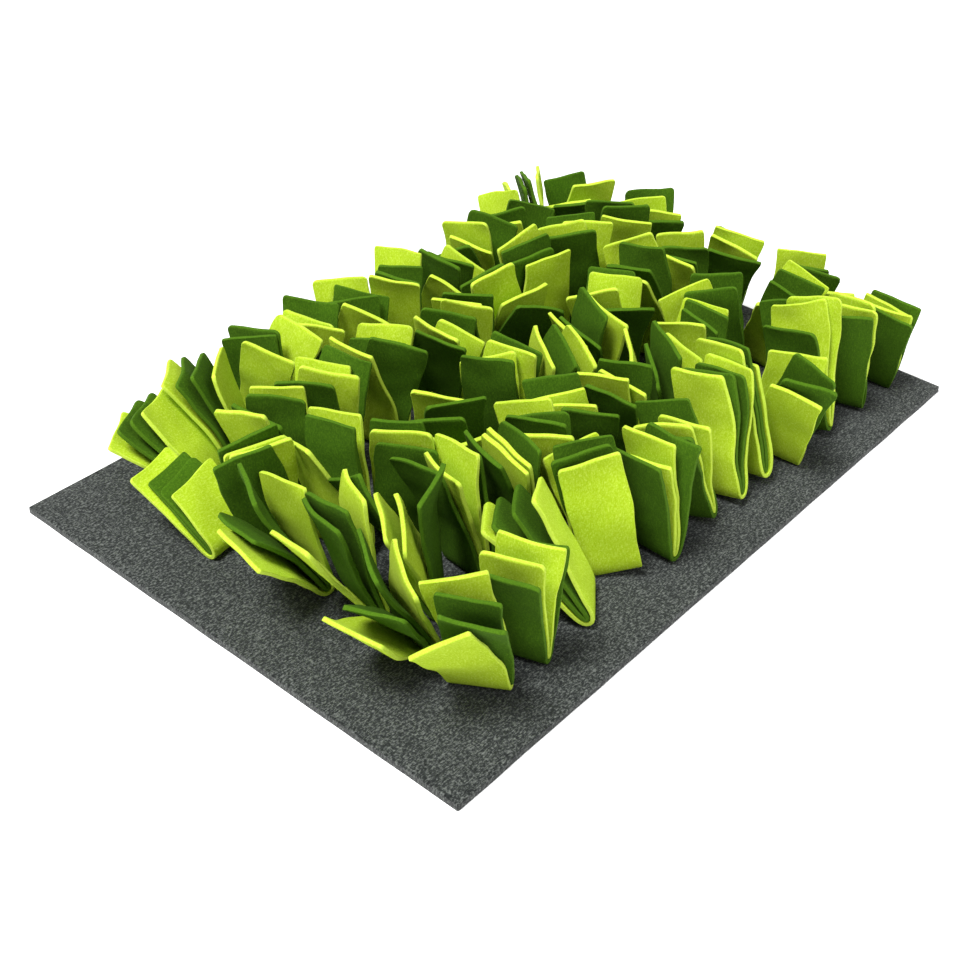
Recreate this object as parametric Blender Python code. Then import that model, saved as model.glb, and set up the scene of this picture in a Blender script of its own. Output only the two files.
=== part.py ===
"""Snuffle mat: a flat charcoal felt base with 59 sewn tufts of folded felt strips.

Each tuft is one light and one dark green strip laid on each other, folded in half and
sewn to the base at the fold, so four ends stand up from it. The strip on the outside of
the fold gives the two outer ends, and the strip inside it the two inner ends.

Frame: the origin is the centre of the base's underside, +X runs along the long side,
+Y along the short side and +Z up. Blender units are metres. The sizes below are in
millimetres and degrees, as their names say.
"""
import math
from random import Random

import bmesh
import bpy
from mathutils import Matrix, Vector
from mathutils.bvhtree import BVHTree

MM = 0.001

# Base felt
BASE_LENGTH_MM = 450.0
BASE_WIDTH_MM = 300.0
BASE_THICKNESS_MM = 4.0
BASE_CORNER_MM = 1.5

# Felt strips and the tuft that two of them make
STRIP_WIDTH_MM = 31.0
FELT_MM = 2.3          # thickness of one strip
LAYER_GAP_MM = 0.8     # air between two layers
FOLD_HEIGHT_MM = 4.5   # height of the sewn fold
FOLD_TAPER = 0.75       # width of the fold's underside against its top
SEAT_GAP_MM = 0.3      # between the fold and the base
NECK_MM = 3.0          # where the ends start to lean together
ENDS = 4               # ends of one tuft, counted from its -X side to its +X side
OUTER_ENDS = (0, 3)    # the two of them that the outside strip gives
END_STEPS = 4          # straight stretches in one bent end
FINE_STEPS = 16        # steps that the bend is added up in
BEND_AT_ROOT = 0.45    # share of an end's lean that it has where it leaves the fold
BEND_UNTIL = 0.4       # share of its length by which it has all of it
BEND_POWER = 0.8
ROUGHNESS = 0.95
UPRIGHT_NORMAL = 0.9   # a face whose normal rises this much is on top

# How uneven the tufts are
FAN_SHARE = (-1.0, -0.33, 0.33, 1.0)  # how the ends share the tuft's fan
UNEVEN_LEAN_DEG = 6.0
UNEVEN_SWAY_DEG = 16.0
UNEVEN_TWIST_DEG = 30.0
UNEVEN_CURL_DEG = 16.0
UNEVEN_LENGTH = 0.09

# Air kept round each end, and how ends that touch are moved until they clear each other
CLEAR_MM = 0.25
CLEAR_BASE_MM = 1.0
PUSH_DEG = 0.7         # lean that two touching ends take from each other in one round
PUSH_ROUNDS = 130
TUFT_SHARE = 0.2       # share of it that the whole tuft takes
HELD_SHARE = 0.35      # how far an end placed by hand moves against any other
STAND_SHARE = 0.04     # how far an end that lies on something stands up in one round
STRAIGHTEN = 0.96      # what is left of the twist and sway of two touching ends of one tuft
EASE_STEP = 0.03       # share of all its bends that an end loses in one of the last rounds
EASE_ROUNDS = 60

CORNER_SIGNS = ((-1, -1), (1, -1), (1, 1), (-1, 1))

LIGHT = (0.42, 0.55, 0.04)
DARK = (0.06, 0.16, 0.02)
CHARCOAL = (0.055, 0.06, 0.06)

# Every tuft, row by row from the front: where it is sewn, the turn of its width about Z (from +Y),
# the lean of the whole tuft towards its own +X side, its sway towards its own +Y side, the half
# angle between its outer ends, the bend of their tips, the free length and the outside strip.
TUFT_COLUMNS = ("name", "x", "y", "turn", "lean", "sway", "fan", "curl", "length", "outer")
TUFTS = (
    ("a01", -164, -110, 28, -5, 6, 16, 8, 66, "light"),
    ("a02", -136, -111, 18, -16, 3, 10, 0, 66, "dark"),
    ("a03", -88, -114, -50, -42, 8, 14, 0, 68, "light"),
    ("a04", -58, -106, 42, 13, 12, 9, 0, 70, "light"),
    ("a05", -28, -111, -3, -1, 3, 12, 0, 66, "dark"),
    ("a06", 9, -108, 20, -17, 14, 10, 12, 66, "dark"),
    ("a07", 36, -110, 2, 7, 16, 9, 0, 70, "light"),
    ("a08", 64, -109, -8, 15, 16, 8, 0, 70, "light"),
    ("a09", 90, -113, 10, -23, -4, 16, -8, 62, "light"),
    ("a10", 126, -112, 8, 0, 14, 12, 0, 70, "dark"),
    ("a11", 163, -112, 15, -5, 3, 12, 6, 63, "dark"),
    ("a12", 200, -112, 10, -14, -12, 6, 8, 56, "dark"),
    ("b01", -163, -68, -10, -30, -14, 18, 10, 66, "light"),
    ("b02", -161, -34, -12, -21, 10, 15, 8, 66, "light"),
    ("b03", -134, -56, -45, -25, 0, 14, 0, 70, "dark"),
    ("b04", -106, -54, -10, 3, 4, 10, 10, 68, "dark"),
    ("b05", -75, -54, 0, -17, -8, 8, 0, 66, "dark"),
    ("b06", -43, -53, 30, -13, 4, 14, 0, 66, "light"),
    ("b07", -14, -54, 40, -13, 14, 12, 6, 66, "dark"),
    ("b08", 16, -55, 12, -11, 4, 14, 0, 66, "dark"),
    ("b09", 54, -55, -30, -10, -14, 11, 4, 66, "light"),
    ("b10", 92, -55, 10, -9, 1, 14, 8, 66, "light"),
    ("b11", 130, -51, 42, 5, 24, 10, 0, 66, "dark"),
    ("b12", 169, -54, 4, -6, -16, 10, 6, 64, "light"),
    ("b13", 204, -54, 45, -20, 2, 8, 0, 57, "light"),
    ("c01", -165, 0, -10, -25, -8, 16, 8, 66, "light"),
    ("c02", -160, 30, 65, -8, 2, 8, 0, 66, "dark"),
    ("c03", -134, 6, 5, 5, 4, 14, 6, 66, "light"),
    ("c04", -106, -10, 32, -5, -3, 12, 0, 66, "dark"),
    ("c05", -60, 2, 45, -25, 3, 19, -10, 64, "light"),
    ("c06", -19, 2, 20, 3, -3, 16, 4, 66, "dark"),
    ("c07", 18, 2, -20, -5, -22, 11, 0, 66, "light"),
    ("c08", 55, 2, -20, 1, -12, 12, 6, 66, "light"),
    ("c09", 92, 2, 30, -13, 12, 10, 10, 66, "dark"),
    ("c10", 130, 2, 30, -5, 9, 15, 0, 66, "light"),
    ("c11", 168, 2, 20, -9, 4, 14, 6, 61, "light"),
    ("c12", 205, 2, 10, -17, -12, 18, 8, 60, "dark"),
    ("d01", -173, 50, -86, -52, 0, 18, 0, 60, "light"),
    ("d02", -130, 57, 12, -11, -8, 16, 6, 66, "light"),
    ("d03", -102, 58, 32, -5, 0, 14, 4, 66, "dark"),
    ("d04", -56, 56, 20, 3, -4, 12, 0, 66, "light"),
    ("d05", -12, 54, 12, -17, -12, 12, 6, 66, "dark"),
    ("d06", 20, 59, 20, -7, -2, 15, 0, 66, "dark"),
    ("d07", 56, 59, 60, -18, 4, 16, 6, 66, "dark"),
    ("d08", 94, 59, 70, -21, 22, 14, 0, 66, "light"),
    ("d09", 129, 58, 42, -6, 8, 12, 0, 66, "dark"),
    ("d10", 168, 56, 45, -5, 4, 12, 0, 66, "light"),
    ("d11", 204, 55, 30, -5, 6, 16, 6, 56, "dark"),
    ("e01", -146, 93, -50, -40, -4, 8, 0, 58, "light"),
    ("e02", -120, 98, -48, -24, 4, 10, 0, 60, "light"),
    ("e03", -92, 110, 19, 0, -4, 10, 0, 60, "light"),
    ("e04", -58, 114, 30, -3, 0, 16, 0, 58, "dark"),
    ("e05", -21, 114, 40, 3, -4, 16, 6, 58, "light"),
    ("e06", 19, 115, 30, -7, 2, 14, 4, 56, "light"),
    ("e07", 57, 115, 15, -22, -10, 18, 0, 57, "light"),
    ("e08", 96, 115, 30, -15, 5, 16, 6, 56, "dark"),
    ("e09", 133, 115, 29, -3, 3, 16, 0, 57, "light"),
    ("e10", 167, 114, -35, -14, 14, 8, 0, 60, "light"),
    ("e11", 205, 114, 40, -19, 8, 18, 8, 54, "dark"),
)

# Ends that stand out from their tuft: end number from the tuft's -X side, lean, sway and twist
# in all, the bend of the tip and the free length.
END_COLUMNS = ("tuft", "end", "lean", "sway", "twist", "curl", "length")
SINGLE_ENDS = (
    ("a01", 0, -28, 13, 34, -6, 66),
    ("a02", 0, -26, 2, 0, 0, 66),
    ("a02", 1, -14, 3, 0, 0, 68),
    ("a03", 0, -60, 12, 0, -10, 70),
    ("a03", 1, -50, 11, 0, -8, 68),
    ("a03", 2, -41, 10, 0, -6, 68),
    ("a03", 3, -32, 9, 0, -4, 68),
    ("a04", 0, 6, 12, 0, 0, 70),
    ("a05", 0, -14, 3, 0, 0, 66),
    ("a06", 0, -29, 15, 5, 0, 66),
    ("a06", 1, -19, 18, 15, 0, 66),
    ("a07", 0, 3, 17, 0, 0, 72),
    ("a08", 0, 16, 18, -4, 0, 76),
    ("a09", 0, -45, -6, 0, 0, 60),
    ("a10", 0, -12, 14, -5, 0, 68),
    ("a10", 1, 8, 16, 4, 0, 74),
    ("a11", 0, -15, 3, 10, 0, 66),
    ("a11", 1, -5, 1, -10, 0, 66),
    ("a12", 0, -19, -8, -10, -8, 62),
    ("a12", 1, -9, -4, 0, 0, 54),
    ("a12", 2, 0, -2, 0, 0, 50),
    ("b01", 0, -54, -22, 10, 20, 68),
    ("b02", 0, -40, 14, 5, 6, 66),
    ("b03", 0, -42, 38, 60, 0, 74),
    ("b03", 1, -30, -14, 0, 0, 68),
    ("b03", 2, -20, -22, 0, 0, 68),
    ("b04", 0, -6, 8, 20, -8, 70),
    ("b08", 0, -26, -3, -6, 0, 66),
    ("b08", 1, -12, 6, 8, 0, 66),
    ("c01", 0, -40, -18, -5, 0, 66),
    ("c05", 0, -50, 3, 15, 10, 66),
    ("c12", 2, -14, -10, 20, 10, 58),
    ("c12", 3, -4, -8, 0, 0, 50),
    ("d01", 0, -76, 6, 0, 8, 56),
    ("d01", 1, -68, 4, 0, 2, 48),
    ("d01", 2, -60, 0, 0, 0, 42),
    ("d01", 3, -52, 0, 0, 0, 36),
    ("e01", 0, -50, -8, 0, -8, 58),
    ("e01", 1, -43, -8, 0, -6, 58),
    ("e01", 2, -37, -8, 0, -4, 56),
    ("e01", 3, -31, -8, 0, -2, 54),
    ("e02", 0, -34, 4, 0, -12, 62),
    ("e02", 1, -28, 4, 0, -10, 60),
    ("e02", 2, -21, 4, 0, -8, 60),
    ("e02", 3, -13, 4, 0, -6, 58),
    ("e10", 0, -22, 17, 0, 0, 62),
    ("e10", 1, -11, 15, 0, 0, 62),
    ("e03", 0, -6, -12, 0, 0, 60),
    ("e03", 1, -4, 10, 20, 0, 60),
)


def rotation(degrees, axis):
    return Matrix.Rotation(math.radians(degrees), 4, axis)


def shift(x, y, z):
    return Matrix.Translation(Vector((x, y, z)) * MM)


def listed(columns, rows):
    """Rows of a table as dictionaries under its column names."""
    return [dict(zip(columns, row)) for row in rows]


def tuft_ends(tuft, singles):
    """The four ends' own bends, measured from the tuft's common lean."""
    random = Random(tuft["name"])
    ends = []
    for k in range(ENDS):
        side = -1 if k < 2 else 1
        end = {
            "tuft": tuft["name"],
            "name": f"{tuft['name']}_{k}",
            "number": k,
            "hold": False,
            "ease": 0.0,
            "offset": (k - (ENDS - 1) / 2) * (FELT_MM + LAYER_GAP_MM),
            "lean": tuft["fan"] * FAN_SHARE[k] + random.uniform(-1, 1) * UNEVEN_LEAN_DEG,
            "sway": random.uniform(-1, 1) * UNEVEN_SWAY_DEG,
            "twist": random.uniform(-1, 1) * UNEVEN_TWIST_DEG,
            "curl": side * tuft["curl"] + random.uniform(-1, 1) * UNEVEN_CURL_DEG,
            "length": tuft["length"] * (1 + random.uniform(-1, 1) * UNEVEN_LENGTH),
        }
        for single in singles:
            if single["tuft"] == tuft["name"] and single["end"] == k:
                end["hold"] = True
                end["lean"] = single["lean"] - tuft["lean"]
                end["sway"] = single["sway"] - tuft["sway"]
                for column in ("twist", "curl", "length"):
                    end[column] = single[column]
        ends.append(end)
    return ends


def bend_share(s):
    """Share of an end's lean that is reached at the fraction s of its length."""
    return BEND_AT_ROOT + (1 - BEND_AT_ROOT) * min(s / BEND_UNTIL, 1.0) ** BEND_POWER


def end_frames(tuft, end):
    """Frames along one end in tuft coordinates: z along the end, x through it, y across it."""
    keep = 1.0 - end["ease"]
    frame = shift(0, 0, FOLD_HEIGHT_MM)
    frame = frame @ rotation(tuft["lean"] * keep, "Y") @ rotation(-tuft["sway"] * keep, "X")
    frame = frame @ shift(end["offset"], 0, NECK_MM)
    step = (end["length"] - NECK_MM) / FINE_STEPS
    frames = [frame]
    lean = sway = twist = 0.0
    for i in range(FINE_STEPS):
        s = (i + 0.5) / FINE_STEPS
        new_lean = keep * (end["lean"] * bend_share(s) + end["curl"] * s * s)
        new_sway = keep * end["sway"] * bend_share(s)
        new_twist = keep * end["twist"] * s
        frame = frame @ rotation(new_lean - lean, "Y") @ rotation(sway - new_sway, "X")
        frame = frame @ rotation(new_twist - twist, "Z") @ shift(0, 0, step)
        lean, sway, twist = new_lean, new_sway, new_twist
        if (i + 1) % (FINE_STEPS // END_STEPS) == 0:
            frames.append(frame.copy())
    return frames


def tuft_place(tuft):
    root_z = BASE_THICKNESS_MM + SEAT_GAP_MM
    return shift(tuft["x"], tuft["y"], root_z) @ rotation(tuft["turn"], "Z")


def section_corners(frame, margin):
    """The four corners of an end's cross-section at one frame."""
    x = (FELT_MM / 2 + margin) * MM
    y = (STRIP_WIDTH_MM / 2 + margin) * MM
    return [frame @ Vector((i * x, j * y, 0)) for i, j in CORNER_SIGNS]


def end_shell(place, frames, margin):
    """Closed skin round one end, for finding what it would touch."""
    points = []
    for frame in frames:
        points += section_corners(place @ frame, margin)
    last = len(points) - 4
    faces = [(0, 1, 2, 3), (last, last + 1, last + 2, last + 3)]
    for low in range(0, last, 4):
        for k in range(4):
            faces.append((low + k, low + (k + 1) % 4, low + 4 + (k + 1) % 4, low + 4 + k))
    return points, faces


def fold_shell(place, margin):
    """Closed skin round a tuft's sewn fold."""
    x = (stack_mm() / 2 + margin) * MM
    y = (STRIP_WIDTH_MM / 2 + margin) * MM
    points = []
    for z in (0.0, (FOLD_HEIGHT_MM + margin) * MM):
        points += [place @ Vector((i * x, j * y, z)) for i, j in CORNER_SIGNS]
    faces = [(0, 1, 2, 3), (4, 5, 6, 7)]
    faces += [(k, (k + 1) % 4, 4 + (k + 1) % 4, 4 + k) for k in range(4)]
    return points, faces


def stack_mm():
    return ENDS * FELT_MM + (ENDS - 1) * LAYER_GAP_MM


def reach(points):
    low = Vector([min(p[i] for p in points) for i in range(3)])
    high = Vector([max(p[i] for p in points) for i in range(3)])
    return low, high


def apart(a, b):
    return any(a[0][i] > b[1][i] or b[0][i] > a[1][i] for i in range(3))


def fold_skins(tufts):
    skins = {}
    for name, tuft in tufts.items():
        points, faces = fold_shell(tuft_place(tuft), CLEAR_MM)
        skins[name] = (BVHTree.FromPolygons(points, faces), reach(points))
    return skins


def meet(a, b):
    return not apart(a[1], b[1]) and bool(a[0].overlap(b[0]))


def push_apart(tufts, a, b, step):
    """Leans end a away from end b by one step, about their tufts' own axes."""
    if a["tuft"] == b["tuft"]:
        a["lean"] += step if a["number"] > b["number"] else -step
        a["twist"] *= STRAIGHTEN
        a["sway"] *= STRAIGHTEN
        return
    here = tufts[a["tuft"]]
    other = tufts[b["tuft"]]
    away = Vector((here["x"] - other["x"], here["y"] - other["y"])).normalized()
    turn = math.radians(here["turn"])
    lean = step * (away.x * math.cos(turn) + away.y * math.sin(turn))
    sway = step * (away.y * math.cos(turn) - away.x * math.sin(turn))
    for moved, share in ((a, 1 - TUFT_SHARE), (here, TUFT_SHARE)):
        moved["lean"] += share * lean
        moved["sway"] += share * sway


def stand_up(tuft, end):
    """Brings an end a little nearer to upright."""
    for angle in ("lean", "sway"):
        end[angle] -= STAND_SHARE * (tuft[angle] + end[angle])


def end_skins(tufts, ends, stale, skins):
    for end in ends:
        if end["tuft"] in stale:
            tuft = tufts[end["tuft"]]
            points, faces = end_shell(tuft_place(tuft), end_frames(tuft, end), CLEAR_MM)
            skins[end["name"]] = (BVHTree.FromPolygons(points, faces), reach(points))


def rests(end, skin, folds):
    """Whether an end lies on the base or on another tuft's fold."""
    lowest = skin[1][0].z
    if lowest < (BASE_THICKNESS_MM + CLEAR_BASE_MM) * MM:
        return True
    return any(meet(skin, fold) for name, fold in folds.items() if name != end["tuft"])


def settle(tufts, ends):
    """Moves ends, a little at a time, until none touches another, a fold or the base.

    Two ends that touch lean away from each other, and an end placed by hand moves less than
    its neighbours. An end that lies on a fold or the base stands up. What still touches after
    the pushing rounds straightens too.
    """
    folds = fold_skins(tufts)
    skins = {}
    stale = set(tufts)
    for round_number in range(PUSH_ROUNDS + EASE_ROUNDS):
        end_skins(tufts, ends, stale, skins)
        pairs = [(a, b) for i, a in enumerate(ends) for b in ends[i + 1:]
                 if meet(skins[a["name"]], skins[b["name"]])]
        resting = [end for end in ends if rests(end, skins[end["name"]], folds)]
        if not pairs and not resting:
            break
        for end in resting:
            stand_up(tufts[end["tuft"]], end)
        for a, b in pairs:
            for one, two in ((a, b), (b, a)):
                held = one["hold"] and not two["hold"]
                push_apart(tufts, one, two, PUSH_DEG * (HELD_SHARE if held else 1))
                if round_number >= PUSH_ROUNDS:
                    one["ease"] = min(1.0, one["ease"] + EASE_STEP)
        stale = {end["tuft"] for end in resting}
        stale |= {end["tuft"] for pair in pairs for end in pair}


def material(name, colour):
    felt = bpy.data.materials.new(name)
    felt.use_nodes = True
    shader = felt.node_tree.nodes["Principled BSDF"]
    shader.inputs["Base Color"].default_value = (*colour, 1.0)
    shader.inputs["Roughness"].default_value = ROUGHNESS
    shader.inputs["Metallic"].default_value = 0.0
    return felt


def make_base(collection, felt):
    """The flat felt rectangle, with its upright edges slightly rounded."""
    bpy.ops.mesh.primitive_cube_add(size=1.0, location=(0, 0, BASE_THICKNESS_MM / 2 * MM))
    base = bpy.context.object
    base.name = "base"
    size = Vector((BASE_LENGTH_MM, BASE_WIDTH_MM, BASE_THICKNESS_MM)) * MM
    base.data.transform(Matrix.Diagonal((*size, 1.0)))
    bm = bmesh.new()
    bm.from_mesh(base.data)
    upright = [e for e in bm.edges if abs(e.verts[0].co.z - e.verts[1].co.z) > MM]
    bmesh.ops.bevel(bm, geom=upright, offset=BASE_CORNER_MM * MM, segments=3, profile=0.5,
                    affect="EDGES")
    bm.to_mesh(base.data)
    bm.free()
    for owner in list(base.users_collection):
        owner.objects.unlink(base)
    collection.objects.link(base)
    base.data.materials.append(felt)


def top_faces(bm):
    return [face for face in bm.faces if face.normal.z > UPRIGHT_NORMAL]


def cut_top(bm, x):
    """Divides the fold's top by a line across it, x millimetres from its middle."""
    top = top_faces(bm)
    edges = {edge for face in top for edge in face.edges}
    verts = {vert for face in top for vert in face.verts}
    bmesh.ops.bisect_plane(bm, geom=[*top, *edges, *verts], plane_co=(x * MM, 0, 0),
                           plane_no=(1, 0, 0))
    bm.normal_update()


def make_tuft(collection, name, tuft, ends, felts):
    """The sewn fold as a block, with its four ends drawn up out of its top."""
    bm = bmesh.new()
    bmesh.ops.create_cube(bm, size=1.0)
    size = Matrix.Diagonal((stack_mm() * MM, STRIP_WIDTH_MM * MM, FOLD_HEIGHT_MM * MM, 1.0))
    bmesh.ops.transform(bm, matrix=shift(0, 0, FOLD_HEIGHT_MM / 2) @ size, verts=bm.verts)
    for vert in bm.verts:
        if vert.co.z < MM:
            vert.co.x *= FOLD_TAPER
    for end in ends[1:]:
        for border in (end["offset"] - FELT_MM / 2 - LAYER_GAP_MM, end["offset"] - FELT_MM / 2):
            cut_top(bm, border)
    strips_and_gaps = sorted(top_faces(bm), key=lambda face: face.calc_center_median().x)
    for end, face in zip(ends, strips_and_gaps[::2]):
        face.material_index = 0 if end["number"] in OUTER_ENDS else 1
        before = shift(end["offset"], 0, FOLD_HEIGHT_MM)
        for frame in end_frames(tuft, end)[1:]:
            grown = bmesh.ops.extrude_discrete_faces(bm, faces=[face])
            face = grown["faces"][0]
            bmesh.ops.transform(bm, matrix=frame @ before.inverted(), verts=face.verts)
            before = frame
    mesh = bpy.data.meshes.new(f"tuft_{name}")
    bm.to_mesh(mesh)
    bm.free()
    for felt in felts:
        mesh.materials.append(felt)
    thing = bpy.data.objects.new(f"tuft_{name}", mesh)
    thing.matrix_world = tuft_place(tuft)
    collection.objects.link(thing)
    return thing


def main():
    for thing in list(bpy.data.objects):
        bpy.data.objects.remove(thing)
    collection = bpy.data.collections.new("snuffle_mat")
    bpy.context.scene.collection.children.link(collection)
    charcoal = material("base_felt", CHARCOAL)
    light = material("light_felt", LIGHT)
    dark = material("dark_felt", DARK)
    make_base(collection, charcoal)
    tufts = {tuft["name"]: tuft for tuft in listed(TUFT_COLUMNS, TUFTS)}
    singles = listed(END_COLUMNS, SINGLE_ENDS)
    ends = [end for tuft in tufts.values() for end in tuft_ends(tuft, singles)]
    settle(tufts, ends)
    for name, tuft in tufts.items():
        own = [end for end in ends if end["tuft"] == name]
        felts = (light, dark) if tuft["outer"] == "light" else (dark, light)
        make_tuft(collection, name, tuft, own, felts)
    return tufts, ends


main()
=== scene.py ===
"""Finished look of the snuffle mat: felt strips folded and sewn onto a marled felt base.

Every tuft of the frame is shown as the two folded strips that it is made of. The strips
stand exactly where the frame's tufts do, from the same table. Sizes are in millimetres
and degrees where their names say so, and Blender units are metres.
"""
import math
from random import Random

import bmesh
import bpy
from mathutils import Matrix, Vector, noise
from mathutils.bvhtree import BVHTree

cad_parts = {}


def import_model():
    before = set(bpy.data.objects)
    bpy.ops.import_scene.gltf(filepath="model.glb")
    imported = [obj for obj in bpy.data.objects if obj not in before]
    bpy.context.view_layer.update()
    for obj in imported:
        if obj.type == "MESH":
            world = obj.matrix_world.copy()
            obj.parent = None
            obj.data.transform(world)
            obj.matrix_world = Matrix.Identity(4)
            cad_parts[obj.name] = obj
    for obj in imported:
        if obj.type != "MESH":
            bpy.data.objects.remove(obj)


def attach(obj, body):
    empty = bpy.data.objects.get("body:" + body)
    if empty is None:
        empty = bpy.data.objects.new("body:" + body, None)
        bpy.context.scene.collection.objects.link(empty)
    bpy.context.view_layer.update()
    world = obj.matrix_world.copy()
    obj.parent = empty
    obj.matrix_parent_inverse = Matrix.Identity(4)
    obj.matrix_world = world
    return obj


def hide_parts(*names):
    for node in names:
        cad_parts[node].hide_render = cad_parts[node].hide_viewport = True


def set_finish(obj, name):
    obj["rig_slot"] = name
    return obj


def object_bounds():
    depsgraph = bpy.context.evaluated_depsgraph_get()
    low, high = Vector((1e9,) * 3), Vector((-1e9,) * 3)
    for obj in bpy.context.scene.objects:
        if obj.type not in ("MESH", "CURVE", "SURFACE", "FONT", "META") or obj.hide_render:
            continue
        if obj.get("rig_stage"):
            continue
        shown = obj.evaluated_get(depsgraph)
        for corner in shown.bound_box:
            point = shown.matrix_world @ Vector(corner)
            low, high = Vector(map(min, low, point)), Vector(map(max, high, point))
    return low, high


MM = 0.001

# Base felt
BASE_LENGTH_MM = 450.0
BASE_WIDTH_MM = 300.0
BASE_THICKNESS_MM = 4.0

# Felt strips and the tuft that two of them make
STRIP_WIDTH_MM = 31.0
FELT_MM = 2.3          # thickness of one strip
LAYER_GAP_MM = 0.8     # air between two layers
FOLD_HEIGHT_MM = 4.5   # height of the sewn fold
SEAT_GAP_MM = 0.3      # between the fold and the base
NECK_MM = 3.0          # where the ends start to lean together
ENDS = 4               # ends of one tuft, counted from its -X side to its +X side
END_STEPS = 4          # straight stretches in one bent end
FINE_STEPS = 16        # steps that the bend is added up in, and stations of a finished end
BEND_AT_ROOT = 0.45    # share of an end's lean that it has where it leaves the fold
BEND_UNTIL = 0.4       # share of its length by which it has all of it
BEND_POWER = 0.8

# How uneven the tufts are
FAN_SHARE = (-1.0, -0.33, 0.33, 1.0)  # how the ends share the tuft's fan
UNEVEN_LEAN_DEG = 6.0
UNEVEN_SWAY_DEG = 16.0
UNEVEN_TWIST_DEG = 30.0
UNEVEN_CURL_DEG = 16.0
UNEVEN_LENGTH = 0.09

# Air kept round each end, and how ends that touch are moved until they clear each other
CLEAR_MM = 0.25
CLEAR_BASE_MM = 1.0
PUSH_DEG = 0.7         # lean that two touching ends take from each other in one round
PUSH_ROUNDS = 130
TUFT_SHARE = 0.2       # share of it that the whole tuft takes
HELD_SHARE = 0.35      # how far a listed end moves against any other
STAND_SHARE = 0.04     # how far an end that lies on something stands up in one round
STRAIGHTEN = 0.96      # what is left of the twist and sway of two touching ends of one tuft
EASE_STEP = 0.03       # share of all its bends that an end loses in one of the last rounds
EASE_ROUNDS = 60

CORNER_SIGNS = ((-1, -1), (1, -1), (1, 1), (-1, 1))

# How the finished strips differ from plain bent slabs
FOLD_STEPS = 8            # stations round the fold
ACROSS = 10               # divisions of a strip's width
EDGE_ROUND_MM = 0.35      # softness of the cut edges
TIP_ROUND_MM = (0.8, 2.4)  # radius of the corners at the tips
TIP_SHARES = (1.0, 0.45, 0.12, 0.0)  # where a tip's corner has stations, in radii from the cut
WIDTH_SPREAD_MM = (-0.7, 0.6)  # what half a strip's width may be off by
SKEW = 0.1                # slant of the cut across the tips
CUP_MM = 0.7              # how far a strip's edges curl out of its plane
CUP_LENGTH_MM = 60.0      # how far from the tip that reaches
CUP_MEAN = 0.33           # keeps a curled strip's middle line in its place
TIP_FUZZ_AND_HIGHLIGHT = 0.6             # how much of the cut edges' painted highlight and paler fuzz the tips have
FAR_FROM_TIP_MM = 1000.0  # stands for the distance from the tip, inside the fold
OUTER_PITCHES = 1.5       # half width of the outside strip's fold, in pitches of the layers
INNER_PITCHES = 0.5
EDGE_UNEVEN_MM = 0.4      # how far the long cut edges wander
EDGE_WAVE_MM = 14.0       # over about this length
SMOOTH_ROUNDS = 3         # rounds that take the sharp bends out of a strip
SMOOTH_SHARE = 0.6        # how far a station goes to its neighbours' middle in one of them
WAVE_FROM_MM = 4.0        # height above the base where the waves begin
WAVE_OVER_MM = 25.0       # height over which they grow to their full size
WAVES = ((34.0, 2.6), (13.0, 0.7))  # length and height of the felt's waves, mm
NOISE_SEED = 1795151903   # fixes where the waves lie, so that every run gives the same felt
FOLD_REST_MM = 0.05       # air between a fold and the base
SHARP_DEG = 38.0          # edges sharper than this stay crisp

# Base
BASE_EDGE_MM = 0.8        # softness of its top edge
BASE_GRID_MM = 7.5        # size of the faces it is divided into
BASE_WAVE_MM = 22.0       # length of the waves in its edges and its surface
BASE_UNEVEN_MM = 0.25     # how far they go in at the edges
BASE_RISE_MM = 0.15       # and how far up and down on top

# Felt
# Its tones run from the shaded gaps between fibres to the brightest fibres
LIGHT_TONES = ((0.27, 0.42, 0.004), (0.38, 0.55, 0.014), (0.58, 0.74, 0.1))
DARK_TONES = ((0.021, 0.06, 0.001), (0.04, 0.104, 0.002), (0.08, 0.175, 0.007))
MARL_STOPS = ((0.38, (0.004, 0.005, 0.005)), (0.5, (0.018, 0.021, 0.02)),
              (0.62, (0.125, 0.135, 0.125)))
TONE_STOPS = (0.3, 0.5, 0.68)
CLOUD_STOPS = ((0.3, (0.9, 0.9, 0.9)), (0.7, (1.06, 1.06, 1.06)))
# Noises: scale per metre, detail and roughness, and for strands how they are drawn out
FELT_FINE = (1100.0, 6.0, 0.7)
FELT_STRANDS = ((500.0, 3.0, 0.6, (1.0, 5.0, 1.0)), (500.0, 3.0, 0.6, (5.0, 1.0, 1.6)))
FELT_STRAND_SHARE = 0.5
CLOUD = (45.0, 3.0, 0.5)
MARL_FINE = (800.0, 5.0, 0.75)
MARL_STRANDS = ((420.0, 2.0, 0.6, (1.0, 4.0, 1.0)), (420.0, 2.0, 0.6, (4.0, 1.0, 1.0)))
MARL_STRAND_SHARE = 0.45
STRAND_TURN = (0.5, 0.9, 0.3)
EDGE_FUZZ_AND_HIGHLIGHT = 0.45          # how far the cut edges go towards the brightest fibres: a painted highlight, partly their paler fuzz
BUMP_MM = 0.35
BUMP_STRENGTH = 0.6
ROUGHNESS = 0.95
GLOSS = 0.15
LIGHT_SHEEN = 0.25
DARK_SHEEN = 0.12
MARL_SHEEN = 0.15
SHEEN_ROUGHNESS = 0.45

# Nap: loose fibres on the strips
NAP_PER_MM2 = 0.2
NAP_LENGTH_MM = (0.3, 1.0)
NAP_THICK_MM = 0.07
NAP_STRAY = 0.8           # how far they lean away from standing straight off the felt

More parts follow.
